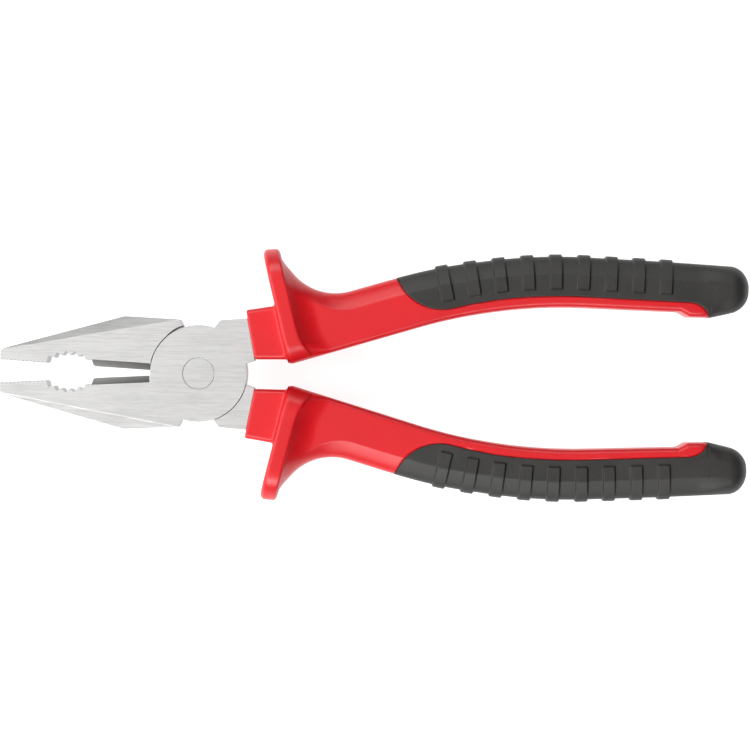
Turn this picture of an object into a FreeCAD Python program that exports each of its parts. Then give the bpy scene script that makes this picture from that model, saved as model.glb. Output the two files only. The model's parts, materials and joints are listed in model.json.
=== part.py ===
"""Lineman (combination) pliers, 200 mm, as a parametric FreeCAD document.

The tool is two identical forged levers, crossed at a lap joint and held by one rivet. Each lever's
tang carries a hard handle sleeve with a hand guard, and a soft ribbed grip moulded over the sleeve.

Both halves are drawn in the lever frame: the jaws closed, the rivet on the Z axis, the mouth along
-X, this lever's jaw below it (-Y), its handle above it (+Y), and z = 0 halfway through the joint.
The row frame has its origin under the middle of the tool, on the plane that it lies on: jaws to
-X, handles to +X, +Z up. All lengths are millimetres, all angles degrees.
"""
import FreeCAD
import Part
import Sketcher
import math
import os

V = FreeCAD.Vector

DIMENSIONS = (
    # placing the tool
    ("pivot_back", 46.9, "rivet axis from the middle of the tool's length"),
    ("rest_height", 11.0, "joint's middle plane above the surface that the tool lies on"),
    ("half_opening", 3.25, "each lever's turn from closed to the stored, slightly open pose"),
    # forged head
    ("head_thickness", 11.0, "across the ground faces of the jaws"),
    ("lap_gap", 0.06, "between the two lap faces"),
    ("jaw_length", 53.0, "rivet axis to the nose"),
    ("nose_height", 2.6, "one jaw's front face"),
    ("nose_break", 1.1, "corner broken off each nose, along the jaw"),
    ("nose_break_drop", 0.7, "corner broken off each nose, across the jaw"),
    ("kink_x", 20.8, "widest place of the jaws, ahead of the rivet"),
    ("kink_y", 13.9, "half width of the head there"),
    ("heel_x", 6.0, "rear corner of the jaw, ahead of the rivet"),
    ("heel_y", 14.0, "half width at that corner"),
    ("disc_radius", 12.9, "round boss of the lap joint"),
    ("disc_gap", 0.2, "clearance round the boss"),
    ("heel_angle", 112.0, "where the jaw's heel meets the boss"),
    ("heel_relief", 0.35, "extra clearance round the boss at the jaw's heel"),
    ("relief_radius", 10.4, "arc of that clearance"),
    ("shoulder_angle", 68.3, "where the shoulder meets the boss"),
    ("shoulder_x", 6.4, "front corner of the shoulder"),
    ("shoulder_y", 13.9, "height of the shoulder there"),
    ("crotch_angle", 9.4, "where the neck's inner edge meets the boss"),
    ("neck_inner", 2.8, "inner side of the neck at its rear end"),
    ("neck_outer", 14.1, "outer side of the neck at its rear end"),
    # facets ground on the outside of the jaws
    ("facet_tilt", 35.0, "facet below the ground face"),
    ("facet_inset", 0.4, "facet's start below the nose corner"),
    ("facet_margin", 4.4, "grinding past the ends of the facet"),
    # gripping teeth, pipe grip and cutter
    ("tooth_pitch", 1.05, "fine teeth of the flat grip"),
    ("tooth_depth", 0.4, "fine teeth"),
    ("tooth_width", 0.88, "one groove of the fine teeth at the mouth line"),
    ("tooth_count", 11, "fine teeth in one jaw"),
    ("tooth_start", 52.1, "first fine tooth, ahead of the rivet"),
    ("pipe_x", 34.4, "middle of the pipe grip, ahead of the rivet"),
    ("pipe_rise", 6.94, "centre of the pipe grip's arc above the mouth line"),
    ("pipe_radius", 9.44, "pipe grip's arc, at the tips of its teeth"),
    ("pipe_tooth_depth", 1.0, "coarse teeth"),
    ("pipe_tooth_root", 0.32, "flat at the bottom of a coarse groove"),
    ("pipe_tooth_angle", 13.1, "coarse teeth, from one to the next round the arc"),
    ("pipe_tooth_count", 6, "coarse teeth in one jaw"),
    ("cutter_start", 28.6, "front end of the cutting edge's bevels, ahead of the rivet"),
    ("cutter_width", 1.8, "bevel seen from above"),
    ("cutter_land", 0.12, "flat left on the cutting edge, each side of the middle"),
    # rivet
    ("rivet_radius", 3.0, "shank"),
    ("rivet_head_radius", 4.3, "countersunk head, flush with the head's faces"),
    ("rivet_head_depth", 1.6, "countersink"),
    ("rivet_break", 0.06, "broken edge of the rivet's heads"),
    ("running_gap", 0.05, "rivet in the turning lever, radial"),
    # handle line: straight, bend, straight
    ("bend_x", 57.8, "start of the handle's bend"),
    ("bend_y", 16.4, "start of the handle's bend"),
    ("bend_radius", 142.2, "handle's middle line"),
    ("bend_turn", 18.9, "angle turned by the bend"),
    ("splay", 13.35, "slope of the handle ahead of the bend"),
    ("tail_length", 43.6, "end of the bend to the end of the handle"),
    ("outer_side", 6.9, "middle line to the outer side"),
    ("inner_side", 6.8, "middle line to the inner side"),
    ("handle_thickness", 15.4, "across the flats of the handle"),
    ("palm_round", 5.6, "rounding of the outer edges"),
    ("finger_round", 1.6, "rounding of the inner edges"),
    # tang
    ("tang_thickness", 8.0, "tang inside the sleeve"),
    ("tang_side", 3.6, "half width of the tang"),
    ("tang_waist", 29.0, "start of the tang's parallel part, ahead of the bend"),
    ("tang_end", 26.0, "end of the bend to the end of the tang"),
    ("tang_inset", 0.7, "tang's sides inside the neck's"),
    ("tang_root", 2.0, "tang's start inside the neck"),
    # collar and hand guard
    ("mouth_x", 15.6, "sleeve's mouth on the jaws' centre line, if it reached it"),
    ("mouth_lean", 7.5, "mouth leans forward, towards its outer end"),
    ("mouth_gap", 0.15, "ground face ends this far ahead of the sleeve"),
    ("collar_outer", 16.4, "collar's outer side at the mouth"),
    ("collar_inner", 3.0, "collar's inner side at the mouth"),
    ("collar_thickness", 15.2, "collar"),
    ("collar_round", 1.4, "collar's long edges"),
    ("collar_spread_outer", 0.8, "collar's widening towards the guard, outer side"),
    ("collar_spread_inner", 0.4, "collar's widening towards the guard, inner side"),
    ("guard_lean", 10.7, "guard leans forward, towards its outer end"),
    ("guard_x", 24.45, "guard's front face on the jaws' centre line"),
    ("guard_plate", 4.4, "thickness of the guard"),
    ("guard_tip", 32.3, "guard's outer end, along its face"),
    ("guard_foot", 1.4, "guard's inner end, along its face"),
    ("guard_width", 22.0, "guard across the tool's thickness"),
    ("guard_tip_round", 8.8, "guard's outer corners"),
    ("guard_foot_round", 6.0, "guard's inner corners"),
    ("guard_edge", 1.0, "guard's rim"),
    ("web_radius", 15.2, "web from the guard's tip down to the handle"),
    ("web_start", 15.2, "web's tangent point, ahead of the bend"),
    ("web_angle", 191.5, "where the web's arc ends"),
    # soft grip
    ("grip_wall", 2.2, "grip over the sleeve's outer side"),
    ("grip_skin", 1.6, "grip over the sleeve's flats"),
    ("core_start", 23.0, "sleeve's core inside the grip, ahead of the bend"),
    ("strip_width", 3.0, "sleeve left showing along the inner side"),
    ("grip_front", 10.0, "start of the grip's lower border, past the start of the bend"),
    ("grip_nose_radius", 12.0, "rounded front of the grip"),
    ("grip_nose_turn", 75.0, "angle turned by the rounded front"),
    ("grip_tail", 27.2, "end of the bend to where the border turns in"),
    ("grip_tail_radius", 5.4, "border's turn at the tail"),
    ("lug_start", 24.6, "end of the bend to the lug at the end of the strip"),
    ("lug_height", 1.2, "lug"),
    ("lug_ramp", 2.2, "lug's sloping front"),
    ("lug_length", 8.0, "lug, with its slope"),
    ("rib_height", 0.6, "ribs above the grip"),
    ("rib_width", 3.3, "one rib"),
    ("rib_pitch", 7.31, "from rib to rib along the handle's middle line"),
    ("rib_first", 9.45, "start of the bend to the first rib"),
    ("rib_count", 9, "ribs on one grip"),
    ("rib_foot", 1.9, "ribs' lower ends, past the middle line"),
)


class Size:
    """A number together with the spreadsheet expression that gives it."""

    def __init__(self, value, text):
        self.value = float(value)
        self.text = text

    @staticmethod
    def of(number):
        return number if isinstance(number, Size) else Size(number, repr(number))

    def __add__(self, other):
        other = Size.of(other)
        return Size(self.value + other.value, f"({self.text} + {other.text})")

    def __sub__(self, other):
        other = Size.of(other)
        return Size(self.value - other.value, f"({self.text} - {other.text})")

    def __mul__(self, other):
        other = Size.of(other)
        return Size(self.value * other.value, f"({self.text} * {other.text})")

    def __truediv__(self, other):
        other = Size.of(other)
        return Size(self.value / other.value, f"({self.text} / {other.text})")

    def __neg__(self):
        return Size(-self.value, f"(0 - {self.text})")


def sine(angle):
    return Size(math.sin(math.radians(angle.value)), f"sin({angle.text})")


def cosine(angle):
    return Size(math.cos(math.radians(angle.value)), f"cos({angle.text})")


def tangent(angle):
    return Size(math.tan(math.radians(angle.value)), f"tan({angle.text})")


ZERO = Size(0, "0")
DEGREES = Size(math.degrees(1), "(180 / pi)")


class Dimensions:
    """The driving dimensions, kept in the document's spreadsheet and read from it as Sizes."""

    def __init__(self, doc):
        self.sheet = doc.addObject("Spreadsheet::Sheet", "dims")
        for row, (alias, value, note) in enumerate(DIMENSIONS, 1):
            self.sheet.set(f"A{row}", note)
            self.sheet.set(f"B{row}", str(value))
            self.sheet.setAlias(f"B{row}", alias)
        doc.recompute()

    def __getattr__(self, alias):
        return Size(self.sheet.get(alias), f"dims.{alias}")


# ---------------------------------------------------------------- sketches and features


def placement_expression(x=ZERO, y=ZERO, z=ZERO, yaw=ZERO, pitch=ZERO, roll=ZERO):
    where = f"create(<<vector>>; {x.text}; {y.text}; {z.text})"
    turn = f"create(<<rotation>>; {yaw.text}; {pitch.text}; {roll.text})"
    return f"create(<<placement>>; {where}; {turn})"


def new_sketch(body, plane, name, **offset):
    """A sketch on one of the body's origin planes, shifted and turned in that plane's own frame."""
    sketch = body.newObject("Sketcher::SketchObject", f"{body.Name}_{name}")
    support = [o for o in body.Origin.OriginFeatures if o.Role == plane][0]
    sketch.AttachmentSupport = [(support, "")]
    sketch.MapMode = "FlatFace"
    if offset:
        sketch.setExpression("AttachmentOffset", placement_expression(**offset))
    return sketch


def bind(sketch, constraint, name, size):
    index = sketch.addConstraint(constraint)
    sketch.renameConstraint(index, name)
    sketch.setExpression(f"Constraints.{name}", size.text)


def fix_point(sketch, geometry, end, point, name):
    """Fixes a geometry's start (1), end (2) or centre (3) at a point given as two Sizes."""
    for axis, size in zip("XY", point):
        constraint = Sketcher.Constraint(f"Distance{axis}", -1, 1, geometry, end, size.value)
        bind(sketch, constraint, f"{name}{axis}", size)


def arc_between(start, end, radius):
    """The shorter arc from start to end: counter-clockwise if radius is positive."""
    a, b = (V(point[0].value, point[1].value, 0) for point in (start, end))
    chord = b - a
    reach = math.sqrt(max(radius.value**2 - (chord.Length / 2) ** 2, 0.0))
    left = V(-chord.y, chord.x, 0).normalize()
    turn = 1 if radius.value > 0 else -1
    centre = (a + b) / 2 + left * reach * turn
    first, last = (a, b) if turn > 0 else (b, a)
    angles = [math.atan2(p.y - centre.y, p.x - centre.x) for p in (first, last)]
    circle = Part.Circle(centre, V(0, 0, 1), abs(radius.value))
    return Part.ArcOfCircle(circle, angles[0], angles[1])


def outline(sketch, points):
    """Draws a closed loop. A point is (x, y), or (x, y, radius) where an arc leads to it."""
    points = [tuple(Size.of(value) for value in point) for point in points]
    ends = []
    for index, point in enumerate(points):
        before = points[index - 1]
        if len(point) == 3:
            geometry = sketch.addGeometry(arc_between(before, point, point[2]), False)
            bind(
                sketch,
                Sketcher.Constraint("Radius", geometry, abs(point[2].value)),
                f"arc{index}",
                point[2] if point[2].value > 0 else -point[2],
            )
            ends.append((geometry, 1, 2) if point[2].value > 0 else (geometry, 2, 1))
        else:
            a, b = (V(p[0].value, p[1].value, 0) for p in (before, point))
            ends.append((sketch.addGeometry(Part.LineSegment(a, b), False), 1, 2))
    for index, (geometry, _, end) in enumerate(ends):
        following, start, _ = ends[(index + 1) % len(ends)]
        sketch.addConstraint(Sketcher.Constraint("Coincident", geometry, end, following, start))
        fix_point(sketch, geometry, end, points[index], f"point{index}")
    return sketch


def circle(sketch, centre, radius):
    middle = V(centre[0].value, centre[1].value, 0)
    geometry = sketch.addGeometry(Part.Circle(middle, V(0, 0, 1), radius.value), False)
    bind(sketch, Sketcher.Constraint("Radius", geometry, radius.value), "radius", radius)
    fix_point(sketch, geometry, 3, centre, "centre")
    return sketch


def feature(body, kind, name, **properties):
    made = body.newObject(f"PartDesign::{kind}", f"{body.Name}_{name}")
    for key, value in properties.items():
        if isinstance(value, Size):
            made.setExpression(key, value.text)
        else:
            setattr(made, key, value)
    body.Tip = made
    return made


def pad(body, sketch, length, name, symmetric=True):
    side = "Symmetric" if symmetric else "One side"
    return feature(body, "Pad", name, Profile=sketch, Length=length, SideType=side)


def cut(body, name, make):
    """Runs make(), which adds a cutting feature, and stops if it took nothing away."""
    body.Document.recompute()
    before = body.Shape.Volume
    made = make()
    body.Document.recompute()
    if not body.Shape.Volume < before - 1e-3:
        raise RuntimeError(f"{body.Label}: {name} cuts nothing")
    return made


def pocket(body, sketch, length, name, symmetric=False, outward=False):
    side = "Symmetric" if symmetric else "One side"
    return cut(
        body,
        name,
        lambda: feature(
            body, "Pocket", name, Profile=sketch, Length=length, SideType=side, Reversed=outward
        ),
    )


def mirrored(body, original, name):
    """Repeats a cut on the other side of the joint's middle plane."""
    plane = [o for o in body.Origin.OriginFeatures if o.Role == "XY_Plane"][0]
    return cut(
        body,
        name,
        lambda: feature(body, "Mirrored", name, Originals=[original], MirrorPlane=(plane, [""])),
    )


def round_edges(body, radius, name, wanted):
    """Rounds every edge of the body so far for which wanted(edge) is true."""
    body.Document.recompute()
    names = [f"Edge{i}" for i, edge in enumerate(body.Shape.Edges, 1) if wanted(edge)]
    if not names:
        raise RuntimeError(f"{body.Label}: {name} found no edge")
    return feature(body, "Fillet", name, Base=(body.Tip, names), Radius=radius)


def new_body(doc, name):
    body = doc.addObject("PartDesign::Body", name)
    body.Label = name
    return body


# ---------------------------------------------------------------- the handle's line


def before_bend(d, side, back):
    """The point at that distance from the middle line, so far ahead of the bend."""
    x = d.bend_x - side * sine(d.splay) - back * cosine(d.splay)
    y = d.bend_y + side * cosine(d.splay) - back * sine(d.splay)
    return x, y


def in_bend(d, side, angle):
    """The point at that distance from the middle line, at an angle past the start of the bend."""
    slope = d.splay - angle
    x = d.bend_x + d.bend_radius * sine(d.splay) - (d.bend_radius + side) * sine(slope)
    y = d.bend_y - d.bend_radius * cosine(d.splay) + (d.bend_radius + side) * cosine(slope)
    return x, y


def after_bend(d, side, past):
    """The point at that distance from the middle line, so far past the bend."""
    x, y = in_bend(d, side, d.bend_turn)
    slope = d.splay - d.bend_turn
    return x + past * cosine(slope), y + past * sine(slope)


def along(d, side, distance):
    """As above, so far along the middle line from the start of the bend; and the slope there."""
    angle = distance / d.bend_radius * DEGREES
    if angle.value < d.bend_turn.value:
        return in_bend(d, side, angle), d.splay - angle
    past = distance - d.bend_radius * d.bend_turn / DEGREES
    return after_bend(d, side, past), d.splay - d.bend_turn


def band(d, outer, inner, back, past):
    """Outline of a band along the handle's line, open square at the front and round at the end."""
    half = (outer - inner) / 2
    middle = (outer + inner) / 2
    shoulder = past - half
    return [
        before_bend(d, inner, back),
        before_bend(d, inner, ZERO),
        (*in_bend(d, inner, d.bend_turn), -(d.bend_radius + inner)),
        after_bend(d, inner, shoulder),
        (*after_bend(d, middle, past), half),
        (*after_bend(d, outer, shoulder), half),
        in_bend(d, outer, d.bend_turn),
        (*before_bend(d, outer, ZERO), d.bend_radius + outer),
        before_bend(d, outer, back),
    ]


# ---------------------------------------------------------------- lever


def on_disc(d, angle):
    return d.disc_radius * cosine(angle), d.disc_radius * sine(angle)


def mouth_point(d, y):
    """Where the ground head ends, just ahead of the sleeve's mouth."""
    return d.mouth_x - d.mouth_gap - y * tangent(d.mouth_lean), y


def head_outline(d):
    return [
        (-d.jaw_length, ZERO),
        (-d.jaw_length, -d.nose_height),
        (d.nose_break - d.jaw_length, -(d.nose_height + d.nose_break_drop)),
        (-d.kink_x, -d.kink_y),
        (-d.heel_x, -d.heel_y),
        on_disc(d, -d.heel_angle),
        (*on_disc(d, d.crotch_angle), d.disc_radius),
        mouth_point(d, d.neck_inner),
        mouth_point(d, d.neck_outer),
        (d.shoulder_x, d.shoulder_y),
        on_disc(d, d.shoulder_angle),
        (-d.disc_radius, ZERO, d.disc_radius),
    ]


def tang_outline(d):
    """The tang starts as wide as the neck and narrows to a band along the handle's line."""
    outer_x, outer_y = mouth_point(d, d.neck_outer - d.tang_inset)
    inner_x, inner_y = mouth_point(d, d.neck_inner + d.tang_inset)
    line = band(d, d.tang_side, -d.tang_side, d.tang_waist, d.tang_end)
    return [(outer_x - d.tang_root, outer_y), (inner_x - d.tang_root, inner_y), *line]


def add_tang(body, d):
    sketch = outline(new_sketch(body, "XY_Plane", "tang_line"), tang_outline(d))
    return pad(body, sketch, d.tang_thickness, "tang")


def cut_lap(body, d):
    """Clears the far half of the joint for the other lever's boss."""
    sketch = new_sketch(body, "XY_Plane", "lap_line", z=d.lap_gap / 2)
    circle(sketch, (ZERO, ZERO), d.disc_radius + d.disc_gap)
    pocket(body, sketch, d.head_thickness, "lap")
    reach = d.disc_radius + d.disc_gap + d.heel_relief - d.relief_radius
    centre = (reach * cosine(d.heel_angle), -reach * sine(d.heel_angle))
    sketch = new_sketch(body, "XY_Plane", "heel_relief_line", z=d.lap_gap / 2)
    circle(sketch, centre, d.relief_radius)
    pocket(body, sketch, d.head_thickness, "heel_relief")


def cut_facets(body, d):
    """Grinds the long sloping facets on the outside of the jaw, above and below."""
    nose = (d.nose_break - d.jaw_length, -(d.nose_height + d.facet_inset))
    run = d.jaw_length - d.nose_break - d.heel_x
    drop = d.heel_y - d.nose_height - d.facet_inset
    slope = Size(
        -math.degrees(math.atan2(drop.value, run.value)), f"(-1 * atan({drop.text} / {run.text}))"
    )
    sketch = new_sketch(
        body,
        "XY_Plane",
        "facet_line",
        x=nose[0],
        y=nose[1],
        z=d.head_thickness / 2,
        yaw=slope,
        roll=d.facet_tilt,
    )
    length = d.jaw_length - d.heel_x
    outline(
        sketch,
        [
            (-d.facet_margin, -d.heel_y),
            (length, -d.heel_y),
            (length, d.nose_height),
            (-d.facet_margin, d.nose_height),
        ],
    )
    facet = pocket(body, sketch, d.head_thickness / 2, "facet", outward=True)
    mirrored(body, facet, "facet_below")


def cut_pipe_grip(body, d):
    """The toothed hollow behind the flat grip: a round arc, with coarse teeth cut round it."""
    centre = (-d.pipe_x, d.pipe_rise)
    arc = circle(new_sketch(body, "XY_Plane", "pipe_line"), centre, d.pipe_radius)
    pocket(body, arc, d.head_thickness * 2, "pipe_grip", symmetric=True)
    half = d.pipe_tooth_angle / 2
    first = (d.pipe_tooth_count - 1) / 2 * d.pipe_tooth_angle + 90
    sketch = new_sketch(
        body, "XY_Plane", "pipe_tooth_line", x=centre[0], y=centre[1], yaw=-first
    )
    tip_x, tip_y = d.pipe_radius * cosine(half), d.pipe_radius * sine(half)
    root = d.pipe_radius + d.pipe_tooth_depth
    flat = d.pipe_tooth_root / 2
    outline(sketch, [(tip_x, -tip_y), (root, -flat), (root, flat), (tip_x, tip_y)])
    tooth = pocket(body, sketch, d.head_thickness * 2, "pipe_tooth", symmetric=True)
    cut(
        body,
        "pipe_teeth",
        lambda: feature(
            body,
            "PolarPattern",
            "pipe_teeth",
            Originals=[tooth],
            Axis=(sketch, ["N_Axis"]),
            Angle=(d.pipe_tooth_count - 1) * d.pipe_tooth_angle,
            Occurrences=d.pipe_tooth_count,
        ),
    )


def cut_teeth(body, d):
    """The fine cross teeth of the flat grip."""
    sketch = new_sketch(body, "XY_Plane", "tooth_line", x=-d.tooth_start)
    half = d.tooth_width / 2
    outline(
        sketch,
        [(-half, d.tooth_depth), (-half, ZERO), (ZERO, -d.tooth_depth), (half, ZERO),
         (half, d.tooth_depth)],
    )
    tooth = pocket(body, sketch, d.head_thickness * 2, "tooth", symmetric=True)
    cut(
        body,
        "teeth",
        lambda: feature(
            body,
            "LinearPattern",
            "teeth",
            Originals=[tooth],
            Direction=(sketch, ["H_Axis"]),
            Length=(d.tooth_count - 1) * d.tooth_pitch,
            Occurrences=d.tooth_count,
        ),
    )


def cut_edge_bevels(body, d):
    """Bevels both sides of the jaw down to the cutting edge, up to the boss."""
    sketch = new_sketch(
        body, "YZ_Plane", "bevel_line", z=-(d.disc_radius + d.disc_gap)
    )
    face = d.head_thickness / 2
    clear = d.cutter_width
    outline(
        sketch,
        [
            (ZERO, d.cutter_land),
            (clear, d.cutter_land),
            (clear, face + clear),
            (-d.cutter_width, face + clear),
            (-d.cutter_width, face),
        ],
    )
    length = d.cutter_start - d.disc_radius - d.disc_gap
    bevel = pocket(body, sketch, length, "bevel")
    mirrored(body, bevel, "bevel_below")


def cut_rivet_hole(body, d, gap):
    """The countersunk rivet hole through this lever's half of the joint."""
    face = d.head_thickness / 2
    sketch = new_sketch(body, "XZ_Plane", "rivet_hole_line")
    outline(
        sketch,
        [
            (ZERO, -face),
            (d.rivet_radius + gap, -face),
            (d.rivet_radius + gap, face - d.rivet_head_depth),
            (d.rivet_head_radius + gap, face),
            (ZERO, face),
        ],
    )
    cut(
        body,
        "rivet_hole",
        lambda: feature(
            body, "Groove", "rivet_hole", Profile=sketch, ReferenceAxis=(sketch, ["V_Axis"])
        ),
    )


def make_lever(doc, d, name, rivet_gap):
    body = new_body(doc, name)
    head = outline(new_sketch(body, "XY_Plane", "head_line"), head_outline(d))
    pad(body, head, d.head_thickness, "head")
    add_tang(body, d)
    cut_lap(body, d)
    cut_facets(body, d)
    cut_pipe_grip(body, d)
    cut_teeth(body, d)
    cut_edge_bevels(body, d)
    cut_rivet_hole(body, d, rivet_gap)
    return body


def make_rivet(doc, d, name):
    body = new_body(doc, name)
    face = d.head_thickness / 2
    neck = face - d.rivet_head_depth
    rim = d.rivet_head_radius - d.rivet_break
    sketch = new_sketch(body, "XZ_Plane", "rivet_line")
    upper = [
        (d.rivet_radius, neck),
        (rim, face - d.rivet_break),
        (rim - d.rivet_break, face),
    ]
    lower = [(x, -z) for x, z in reversed(upper)]
    outline(sketch, [(ZERO, -face), *lower, *upper, (ZERO, face)])
    feature(body, "Revolution", "rivet", Profile=sketch, ReferenceAxis=(sketch, ["V_Axis"]))
    return body


# ---------------------------------------------------------------- handle


def web_crest(d):
    """The top of the web, where its arc meets the back of the guard."""
    x, y = before_bend(d, d.outer_side + d.web_radius, d.web_start)
    return x + d.web_radius * cosine(d.web_angle), y + d.web_radius * sine(d.web_angle)


def palm_outline(d):
    """The palm side of the handle from above, with the web and the whole round end."""
    inner = -d.inner_side
    outer = d.outer_side
    half = (outer - inner) / 2
    back = (d.bend_x - d.guard_x) / cosine(d.splay)
    past_lug = d.lug_start + d.lug_length
    shoulder = d.tail_length - half
    crest = web_crest(d)
    return [
        before_bend(d, ZERO, back),
        before_bend(d, ZERO, ZERO),
        (*in_bend(d, ZERO, d.bend_turn), -d.bend_radius),
        after_bend(d, ZERO, past_lug),
        after_bend(d, inner, past_lug),
        after_bend(d, inner, shoulder),
        (*after_bend(d, outer - half, d.tail_length), half),
        (*after_bend(d, outer, shoulder), half),
        in_bend(d, outer, d.bend_turn),
        (*before_bend(d, outer, ZERO), d.bend_radius + outer),
        before_bend(d, outer, d.web_start),
        (*crest, -d.web_radius),
        (crest[0] - d.guard_plate / 2, crest[1]),
    ]


def finger_outline(d):
    """The finger side of the handle from above, from the middle line to the lug."""
    inner = -d.inner_side
    lug = inner - d.lug_height
    back = (d.bend_x - d.guard_x) / cosine(d.splay)
    past_lug = d.lug_start + d.lug_length
    return [
        before_bend(d, inner, back),
        before_bend(d, inner, ZERO),
        (*in_bend(d, inner, d.bend_turn), -(d.bend_radius + inner)),
        after_bend(d, inner, d.lug_start),
        after_bend(d, lug, d.lug_start + d.lug_ramp),
        after_bend(d, lug, past_lug),
        after_bend(d, ZERO, past_lug),
        in_bend(d, ZERO, d.bend_turn),
        (*before_bend(d, ZERO, ZERO), d.bend_radius),
        before_bend(d, ZERO, back),
    ]


def collar_outline(d):
    front_outer = (d.mouth_x - d.collar_outer * tangent(d.mouth_lean), d.collar_outer)
    front_inner = (d.mouth_x - d.collar_inner * tangent(d.mouth_lean), d.collar_inner)
    rear_x = d.guard_x - d.collar_outer * tangent(d.guard_lean) + d.guard_plate / 2
    return [
        front_outer,
        front_inner,
        (d.guard_x + d.guard_plate / 2, d.collar_inner - d.collar_spread_inner),
        (rear_x, d.collar_outer + d.collar_spread_outer),
    ]


def runs_flat(edge, height):
    """True for an edge that lies in one of the planes z = +-height."""
    box = edge.BoundBox
    return box.ZLength < 1e-6 and abs(abs(box.ZMin) - height) < 1e-6


def rim_at(point, thickness):
    """Picks the upper and lower edges that pass the given point of the outline."""
    x, y = (Size.of(value).value for value in point)
    half = thickness.value / 2

    def passes(edge):
        level = half if edge.BoundBox.ZMin > 0 else -half
        near = edge.distToShape(Part.Vertex(V(x, y, level)))[0] < 1e-4
        return near and runs_flat(edge, half)

    return passes


def make_guard(doc, d):
    """The upright plate that keeps the hand off the head."""
    body = new_body(doc, "guard")
    half = d.guard_width / 2
    tip, foot = d.guard_tip_round, d.guard_foot_round
    sketch = new_sketch(body, "YZ_Plane", "guard_line", z=d.guard_x, pitch=d.guard_lean)
    outline(
        sketch,
        [
            (d.guard_tip - tip, -half),
            (d.guard_tip, tip - half, tip),
            (d.guard_tip, half - tip),
            (d.guard_tip - tip, half, tip),
            (d.guard_foot + foot, half),
            (d.guard_foot, half - foot, foot),
            (d.guard_foot, foot - half),
            (d.guard_foot + foot, -half, foot),
        ],
    )
    pad(body, sketch, d.guard_plate, "guard", symmetric=False)
    round_edges(body, d.guard_edge, "rim", lambda edge: on_guard_face(edge, d))
    return body


def on_guard_face(edge, d):
    """True for the edges round the front and rear faces, which lie square to the guard's lean."""
    return abs(edge.BoundBox.ZLength) > 1e-6 or edge.Length > d.guard_plate.value + 0.1


def make_palm_half(doc, d):
    """The palm side with its broad rounding."""
    body = new_body(doc, "palm_half")
    sketch = outline(new_sketch(body, "XY_Plane", "palm_line"), palm_outline(d))
    pad(body, sketch, d.handle_thickness, "palm")
    side = after_bend(d, d.outer_side, d.tail_length / 2)
    round_edges(body, d.palm_round, "palm_round", rim_at(side, d.handle_thickness))
    return body


def make_finger_half(doc, d):
    """The finger side with its tighter rounding and the lug."""
    body = new_body(doc, "finger_half")
    sketch = outline(new_sketch(body, "XY_Plane", "finger_line"), finger_outline(d))
    pad(body, sketch, d.handle_thickness, "finger")
    side = before_bend(d, -d.inner_side, d.bend_x * 0.2)
    lug = after_bend(d, -d.inner_side - d.lug_height, d.lug_start + d.lug_length * 0.6)
    round_edges(body, d.finger_round, "finger_round", rim_at(side, d.handle_thickness))
    round_edges(body, d.finger_round / 2, "lug_round", rim_at(lug, d.handle_thickness))
    return body


def make_collar(doc, d):
    """The square end of the sleeve round the root of the tang."""
    body = new_body(doc, "collar")
    sketch = outline(new_sketch(body, "XY_Plane", "collar_line"), collar_outline(d))
    pad(body, sketch, d.collar_thickness, "collar")
    half = d.collar_thickness.value / 2
    round_edges(
        body,
        d.collar_round,
        "collar_edges",
        lambda edge: runs_flat(edge, half) and edge.BoundBox.XLength > edge.BoundBox.YLength,
    )
    return body


def make_envelope(doc, d):
    """The outer shape of sleeve and grip together, without the grip's ribs."""
    makers = (make_palm_half, make_finger_half, make_collar, make_guard)
    pieces = [make(doc, d) for make in makers]
    return boolean(doc, "MultiFuse", "outer_shape", *pieces)


def make_grip_zone(doc, d):
    """The plan of the grip: everything outside the strip that the sleeve keeps for itself."""
    body = new_body(doc, "grip_zone")
    border = d.strip_width - d.inner_side
    wide = d.outer_side * 2
    nose = d.grip_nose_radius
    front = d.grip_front / d.bend_radius * DEGREES
    nose_x, nose_y = in_bend(d, border + nose, front)
    slope = d.splay - front
    radial = slope - d.grip_nose_turn - 90
    start = (nose_x + nose * cosine(radial), nose_y + nose * sine(radial))
    lead = slope - d.grip_nose_turn
    tail = d.grip_tail_radius
    past = d.grip_tail
    points = [
        start,
        (*in_bend(d, border, front), nose),
        (*in_bend(d, border, d.bend_turn), -(d.bend_radius + border)),
        after_bend(d, border, past),
        (*after_bend(d, border - tail, past + tail), -tail),
        after_bend(d, border - tail * 2, past + tail),
        after_bend(d, -wide, d.tail_length * 2),
        after_bend(d, wide, d.tail_length * 2),
        (start[0] - wide * cosine(lead), start[1] - wide * sine(lead)),
    ]
    sketch = outline(new_sketch(body, "XY_Plane", "zone_line"), points)
    pad(body, sketch, d.handle_thickness * 2, "zone")
    return body


def make_core(doc, d):
    """The part of the sleeve that lies inside the grip."""
    body = new_body(doc, "sleeve_core")
    points = band(
        d,
        d.outer_side - d.grip_wall,
        -(d.inner_side + d.lug_height),
        d.core_start,
        d.tail_length - d.grip_wall,
    )
    pad(
        body,
        outline(new_sketch(body, "XY_Plane", "core_line"), points),
        d.handle_thickness - d.grip_skin * 2,
        "core",
    )
    return body


def make_rib_skin(doc, d):
    """The palm side's surface raised by the height of a rib, down to the ribs' lower ends."""
    body = new_body(doc, "rib_skin")
    outer = d.outer_side + d.rib_height
    border = -d.rib_foot
    thickness = d.handle_thickness + d.rib_height * 2
    points = [
        before_bend(d, border, ZERO),
        (*in_bend(d, border, d.bend_turn), -(d.bend_radius + border)),
        after_bend(d, border, d.lug_start),
        after_bend(d, outer, d.lug_start),
        in_bend(d, outer, d.bend_turn),
        (*before_bend(d, outer, ZERO), d.bend_radius + outer),
    ]
    pad(body, outline(new_sketch(body, "XY_Plane", "skin_line"), points), thickness, "skin")
    side = after_bend(d, outer, d.lug_start / 2)
    round_edges(body, d.palm_round + d.rib_height, "skin_round", rim_at(side, thickness))
    return body


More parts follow.
